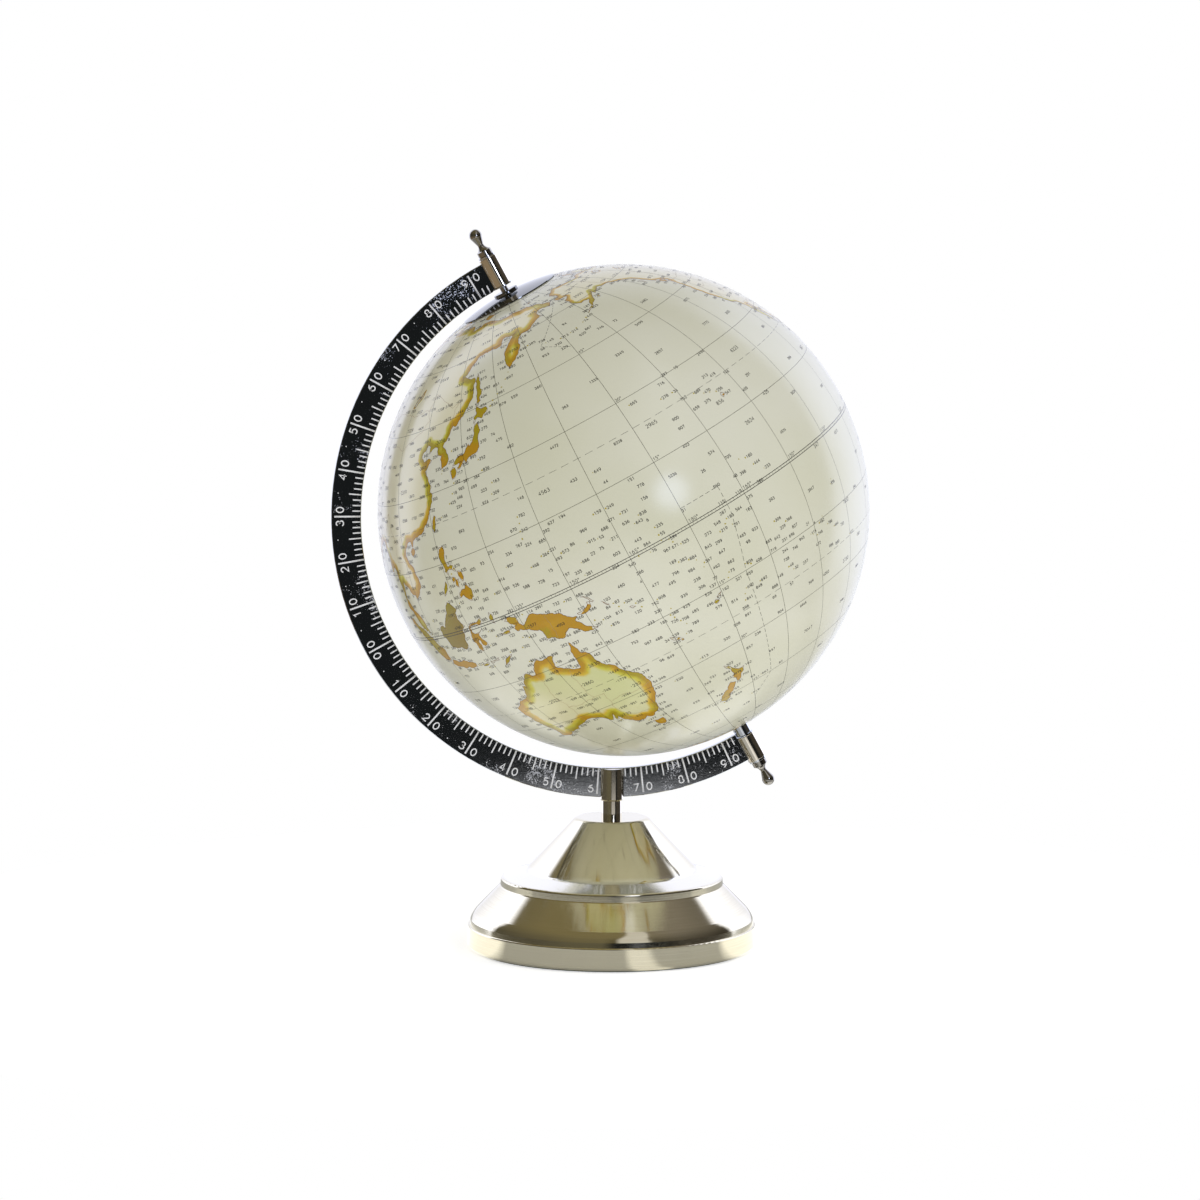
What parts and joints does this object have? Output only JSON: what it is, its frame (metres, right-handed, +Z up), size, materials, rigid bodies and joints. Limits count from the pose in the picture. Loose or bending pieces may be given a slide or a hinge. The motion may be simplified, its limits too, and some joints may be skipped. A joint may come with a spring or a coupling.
{
  "type": "desk globe",
  "caption": "Desk globe: a printed ball that turns on a tilted axle in a graduated half-ring, on a short stem and a stepped conical metal foot.",
  "frame": {"origin": "centre of the underside of the foot, on the axis of the stem, at floor level", "axes": "+Z up; the half-ring lies in the XZ plane with the north pole leaning towards -X; the ring faces -Y and +Y"},
  "size_m": [0.2225, 0.203, 0.2979],
  "materials": {
    "printed_ball": "glossy lacquered map print, cream sea and pale green and ochre land",
    "inner_plastic": "moulded, unseen inside the ball",
    "chrome": "mirror chrome plate",
    "polished_nickel": "polished nickel plate",
    "spun_nickel": "nickel plate, polished cone and finely brushed skirt",
    "plain_steel": "bright zinc-plated steel",
    "cast_iron": "rough, unseen inside the foot",
    "fibre_board": "hardboard",
    "felt": "dark felt"
  },
  "bodies": {
    "stand": {"meridian_arc": "chrome", "north_end_washer": "chrome", "south_end_washer": "chrome", "north_thrust_washer": "chrome", "south_thrust_washer": "chrome", "north_sleeve": "polished_nickel", "south_sleeve": "polished_nickel", "north_finial": "polished_nickel", "south_finial": "polished_nickel", "stem_post": "polished_nickel", "stem_tube": "polished_nickel", "foot_shell": "spun_nickel", "axle_rod": "plain_steel", "clamp_washer": "plain_steel", "lock_washer": "plain_steel", "clamp_nut": "plain_steel", "ballast_ring": "cast_iron", "bottom_board": "fibre_board", "felt_pad": "felt"},
    "globe": {"north_hemisphere": "printed_ball", "south_hemisphere": "printed_ball", "equator_band": "inner_plastic", "north_bush": "inner_plastic", "south_bush": "inner_plastic", "north_dish": "chrome", "south_collar": "chrome"}
  },
  "joints": [
    {"name": "globe_spin", "type": "hinge", "parent": "stand", "child": "globe", "pos_m": [0.00491, 0, 0.18205], "axis": [-0.4756, 0, 0.8796], "continuous": true}
  ]
}
